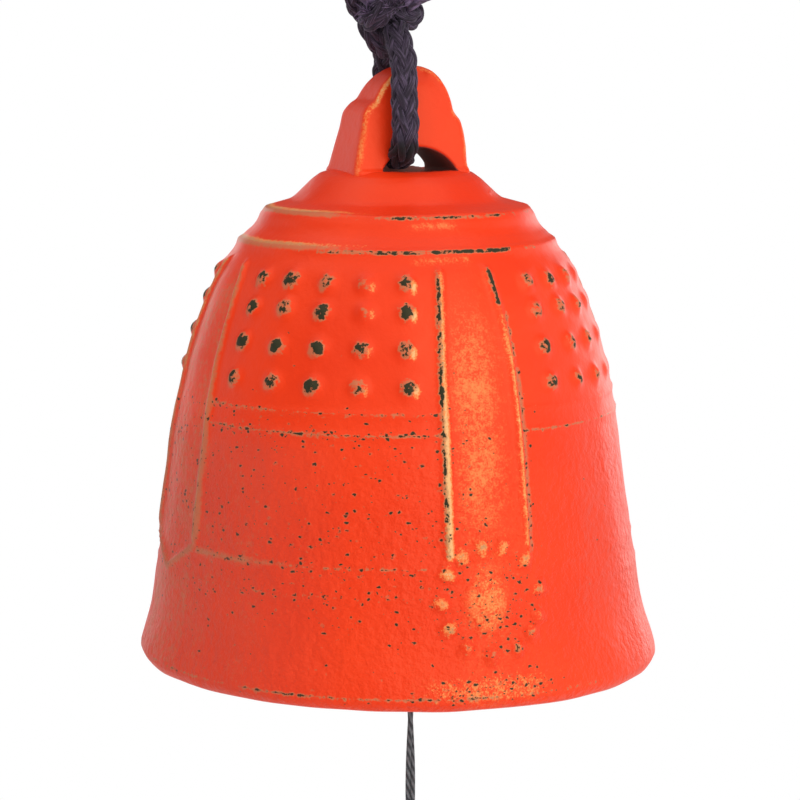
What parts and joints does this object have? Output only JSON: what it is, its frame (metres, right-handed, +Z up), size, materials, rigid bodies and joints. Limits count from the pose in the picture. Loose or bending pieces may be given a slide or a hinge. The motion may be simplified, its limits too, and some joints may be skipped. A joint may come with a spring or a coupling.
{
  "type": "cast iron wind bell",
  "caption": "Painted cast iron wind bell of temple bell form with bosses, bands and a lotus seat, hung by a knotted cord, with a clapper disc and a paper strip on a string.",
  "frame": {"origin": "underside of the top of the hanging loop, where it rests on a hook, with the bell hanging at rest", "axes": "+Z up along the bell's axis, -Y to the bell's front band with the lotus, +X to the right of that band, along the flat of the hanging loop"},
  "size_m": [0.067, 0.067, 0.2564],
  "materials": {
    "painted_iron": "satin",
    "cord": "matte",
    "string": "matte",
    "wire": "satin",
    "bare_iron": "matte",
    "strip_paper": "matte"
  },
  "bodies": {
    "loop": {"hang_loop": "cord"},
    "sling": {"hang_knot": "cord", "sling_cord": "cord"},
    "bell": {"bell_casting": "painted_iron", "eye_staple": "wire"},
    "eye": {"eye_loop": "string"},
    "clapper": {"clapper_cord": "string", "clapper_disc": "bare_iron", "stop_knot": "string"},
    "tail": {"tail_string": "string"},
    "tie": {"tie_loop": "string"},
    "strip": {"paper_strip": "strip_paper"}
  },
  "joints": [
    {"name": "cord_sway", "type": "hinge", "parent": "loop", "child": "sling", "pos_m": [0, 0, -0.027], "axis": [1, 0, 0], "range_deg": [-20, 20]},
    {"name": "bell_rock", "type": "hinge", "parent": "sling", "child": "bell", "pos_m": [0, 0, -0.0539], "axis": [0, 1, 0], "range_deg": [-12, 12]},
    {"name": "eye_swing", "type": "hinge", "parent": "bell", "child": "eye", "pos_m": [0.0019, 0, -0.0631], "axis": [1, 0, 0], "range_deg": [-12, 12]},
    {"name": "clapper_swing", "type": "hinge", "parent": "eye", "child": "clapper", "pos_m": [0.0019, 0, -0.0683], "axis": [0, 1, 0], "range_deg": [-12, 12]},
    {"name": "tail_swing", "type": "hinge", "parent": "clapper", "child": "tail", "pos_m": [0.0019, 0, -0.11475], "axis": [1, 0, 0], "range_deg": [-20, 20]},
    {"name": "strip_spin", "type": "hinge", "parent": "tail", "child": "tie", "pos_m": [0.0019, 0, -0.1416], "axis": [0, 0, 1], "continuous": true},
    {"name": "strip_tilt", "type": "hinge", "parent": "tie", "child": "strip", "pos_m": [0.0019, 0, -0.1494], "axis": [0, 1, 0], "range_deg": [-15, 15]}
  ]
}
